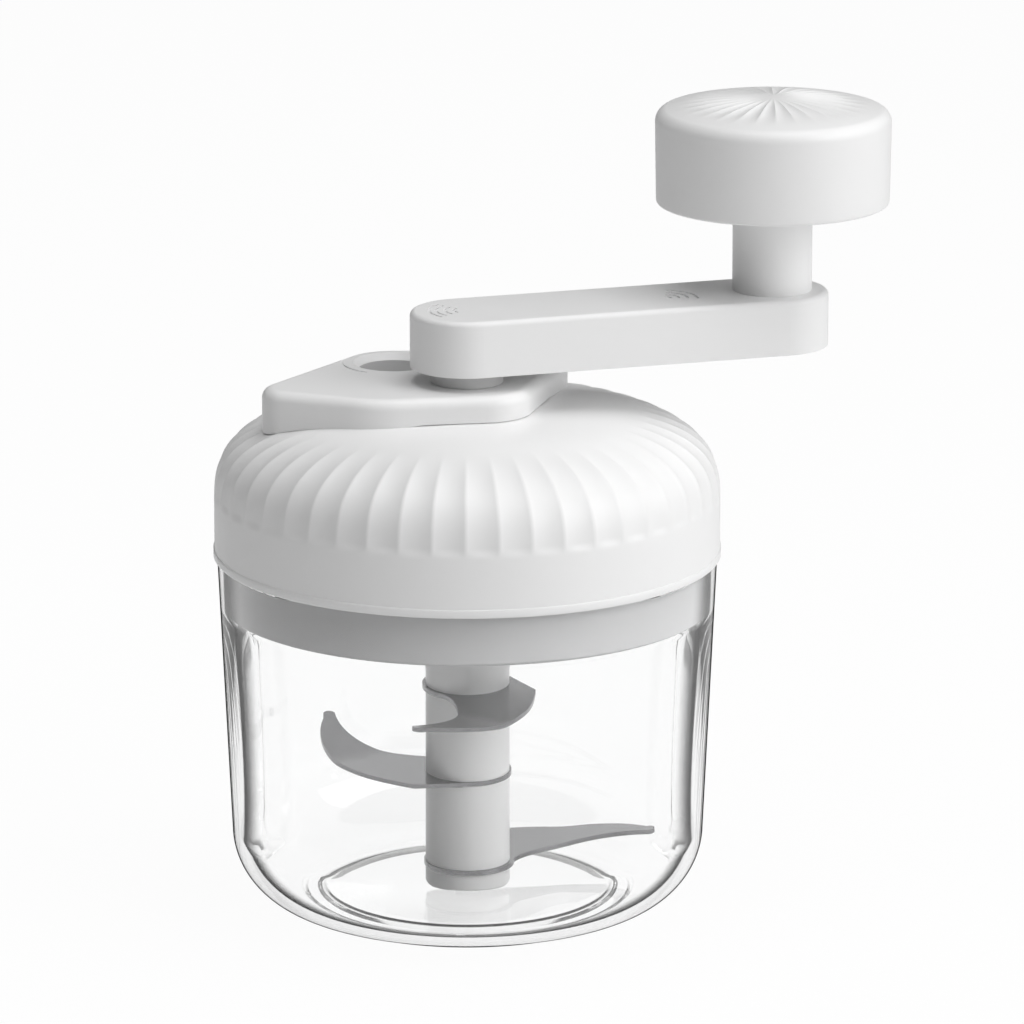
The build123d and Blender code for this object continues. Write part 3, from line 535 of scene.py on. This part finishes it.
# ---- Knob ----------------------------------------------------------------------------------------
def knob():
    """The palm knob with radial flutes on its crown that fade before the edge."""
    radius = KNOB_RADIUS
    shoulder = KNOB_TOP - KNOB_CROWN_RISE
    foot = radius - KNOB_DRAFT
    fillet_z = KNOB_BOTTOM + KNOB_FOOT_FILLET
    outside = [(KNOB_OPENING, KNOB_BOTTOM)]
    outside += arc((foot - KNOB_FOOT_FILLET, fillet_z), KNOB_FOOT_FILLET, -90.0, 0.0, 5)
    outside += straight((foot, fillet_z), (radius, shoulder - KNOB_FILLET), 6)
    outside += arc((radius - KNOB_FILLET, shoulder - KNOB_FILLET), KNOB_FILLET, 0.0, 82.0, 16)[1:]
    start_r, start_z = outside[-1]
    for k in range(1, KNOB_CROWN_STEPS + 1):
        r = start_r * (1 - k / KNOB_CROWN_STEPS)
        outside.append((r, start_z + (KNOB_TOP - start_z) * (1 - (r / start_r) ** KNOB_CROWN_POWER)))
    inside = [(0, KNOB_TOP - 2.5), (18.0, KNOB_TOP - 4.0), (24.0, shoulder - 4.0)]
    inside += [(KNOB_OPENING, KNOB_BOTTOM + 6.0)]

    def reshape(index, r, z, angle):
        if index >= len(outside) or z < shoulder - 0.6:
            return r, z
        across = (degrees(angle) * KNOB_RAYS / 360.0) % 1.0 * 2 - 1
        strength = ease(r, 1.5, 12.0) * (1 - ease(r, 15.0, 24.0))
        return r, z - KNOB_RAY_DEPTH * strength * (1 - across * across)

    centre = (KNOB.x, KNOB.y)
    profile = outside + inside
    piece = lathe("knob_palm", profile, KNOB_RAYS * 12, "knob", centre, reshape, sharp=38.0)
    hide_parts("knob_shell")
    return paint(piece, WHITE)


# ---- Stage: floor, lights, world and camera; metres, degrees and watts ---------------------------
LIGHT_BOUNCES = 20
SEEN_WHITE = 1.0
FLOOR_GLOW = 0.95
FLOOR_HALF = 6.0
FLOOR_DROP = 0.0002
WORLD_LEFT = 0.12
WORLD_RIGHT = 0.42
PATCH_GLOW = 1.1
PATCH_PLACE = (0.8, -0.25, 0.4)
PATCH_EDGE = (0.84, 0.93)
LAMP_SIZE = (1.2, 1.2)
KEY_PLACE = (1.4, -0.7, 0.8)
KEY_POWER = 9.5
TOP_PLACE = (0.1, -0.2, 1.6)
TOP_POWER = 15.0

SENSOR_MM = 36.0
LENS_MM = 274.22
RIM_DEPTH = 1.853
LOOK_DOWN = 14.6
# The camera aims this far right of and above the rim's centre, as shares of the distance.
AIM_RIGHT = 0.005731
AIM_ABOVE = 0.005128


def seen_through(nodes, links):
    """1 for what the camera sees directly or through the clear bowl, 0 for light that falls on the object."""
    path = nodes.new("ShaderNodeLightPath")
    direct, through = path.outputs["Is Camera Ray"], path.outputs["Is Transmission Ray"]
    either = combine(nodes, links, "MAXIMUM", direct, through)
    unlit = combine(nodes, links, "LESS_THAN", path.outputs["Diffuse Depth"], 0.5)
    return combine(nodes, links, "MULTIPLY", either, unlit)


def floor():
    """A plain pale floor, lit almost evenly like a light table, with only a trace of the object's shadow."""
    material, nodes, links, shader = new_material("pale_floor")
    shader.inputs["Base Color"].default_value = (0.92, 0.92, 0.92, 1)
    shader.inputs["Roughness"].default_value = 0.9
    glow = nodes.new("ShaderNodeEmission")
    glow.inputs["Strength"].default_value = SEEN_WHITE
    mix = nodes.new("ShaderNodeMixShader")
    links.new(combine(nodes, links, "MULTIPLY", seen_through(nodes, links), FLOOR_GLOW), mix.inputs["Fac"])
    links.new(shader.outputs["BSDF"], mix.inputs[1])
    links.new(glow.outputs["Emission"], mix.inputs[2])
    links.new(mix.outputs["Shader"], nodes["Material Output"].inputs["Surface"])
    mesh = bpy.data.meshes.new("floor")
    half = FLOOR_HALF
    corners = [(-half, -half, 0), (half, -half, 0), (half, half, 0), (-half, half, 0)]
    mesh.from_pydata(corners, [], [(0, 1, 2, 3)])
    piece = bpy.data.objects.new("floor", mesh)
    bpy.context.scene.collection.objects.link(piece)
    piece.location.z = -FLOOR_DROP
    paint(piece, material)


def area_light(name, place, size, power, aim=(0.0, 0.0, 0.1)):
    """A soft square light that faces a point."""
    lamp = bpy.data.lights.new(name, "AREA")
    lamp.shape = "RECTANGLE"
    lamp.size, lamp.size_y = size
    lamp.energy = power
    holder = bpy.data.objects.new(name, lamp)
    holder.location = place
    holder.rotation_euler = (Vector(aim) - Vector(place)).to_track_quat("-Z", "Y").to_euler()
    bpy.context.scene.collection.objects.link(holder)
    return holder


def lit_side(nodes, links, direction):
    """How far a sky direction turns from the dim side to the bright side: -1 to 1."""
    turn = nodes.new("ShaderNodeVectorMath")
    turn.operation = "DOT_PRODUCT"
    turn.inputs[1].default_value = Vector(direction).normalized()
    links.new(nodes.new("ShaderNodeTexCoord").outputs["Generated"], turn.inputs[0])
    return turn.outputs["Value"]


def glow_between(nodes, links, source, start, end, low, high):
    """A smooth rise in strength as a value goes from start to end."""
    slope = nodes.new("ShaderNodeMapRange")
    slope.interpolation_type = "SMOOTHSTEP"
    slope.inputs["From Min"].default_value = start
    slope.inputs["From Max"].default_value = end
    slope.inputs["To Min"].default_value = low
    slope.inputs["To Max"].default_value = high
    links.new(source, slope.inputs["Value"])
    return slope.outputs["Result"]


def surroundings():
    """White as seen, and softer as a light: dim on the left, brighter on the right, with a soft patch."""
    world = bpy.data.worlds.new("studio")
    bpy.context.scene.world = world
    world.use_nodes = True
    nodes, links = world.node_tree.nodes, world.node_tree.links
    seen = nodes["Background"]
    seen.inputs["Color"].default_value = (1, 1, 1, 1)
    seen.inputs["Strength"].default_value = SEEN_WHITE
    light = nodes.new("ShaderNodeBackground")
    across = lit_side(nodes, links, (1, 0, 0))
    sideways = glow_between(nodes, links, across, -0.9, 0.9, WORLD_LEFT, WORLD_RIGHT)
    patch = glow_between(nodes, links, lit_side(nodes, links, PATCH_PLACE), *PATCH_EDGE, 0.0, PATCH_GLOW)
    mirror = nodes.new("ShaderNodeLightPath").outputs["Is Singular Ray"]
    not_mirror = combine(nodes, links, "LESS_THAN", mirror, 0.5)
    patch = combine(nodes, links, "MULTIPLY", patch, not_mirror)
    links.new(combine(nodes, links, "ADD", sideways, patch), light.inputs["Strength"])
    mix = nodes.new("ShaderNodeMixShader")
    links.new(seen_through(nodes, links), mix.inputs["Fac"])
    links.new(light.outputs["Background"], mix.inputs[1])
    links.new(seen.outputs["Background"], mix.inputs[2])
    links.new(mix.outputs["Shader"], nodes["World Output"].inputs["Surface"])


def studio():
    """White surroundings and soft lights from the right and above."""
    surroundings()
    key = area_light("key_right", KEY_PLACE, LAMP_SIZE, KEY_POWER)
    top = area_light("top", TOP_PLACE, LAMP_SIZE, TOP_POWER)
    for lamp in (key, top):
        lamp.visible_glossy = False


def camera():
    """A long-lens camera that looks along +Y and a little down, with the bowl's rim just below its middle."""
    lens = bpy.data.cameras.new("camera")
    lens.sensor_width = SENSOR_MM
    lens.lens = LENS_MM
    lens.clip_start = 0.01
    tilt = radians(LOOK_DOWN)
    ahead = Vector((0, cos(tilt), -sin(tilt)))
    up = Vector((0, sin(tilt), cos(tilt)))
    right = Vector((1, 0, 0))
    ray = ahead - right * AIM_RIGHT - up * AIM_ABOVE
    holder = bpy.data.objects.new("camera", lens)
    holder.location = Vector((0, 0, RIM_TOP * MM)) - ray * RIM_DEPTH
    holder.rotation_euler = (pi / 2 - tilt, 0, 0)
    bpy.context.scene.collection.objects.link(holder)
    bpy.context.scene.camera = holder


scene = bpy.context.scene
scene.view_settings.view_transform = "Standard"
scene.cycles.use_denoising = True
scene.cycles.max_bounces = LIGHT_BOUNCES
scene.cycles.transmission_bounces = LIGHT_BOUNCES
scene.cycles.glossy_bounces = LIGHT_BOUNCES
camera()
studio()
floor()
paint_frame()
bowl()
lid()
knob()
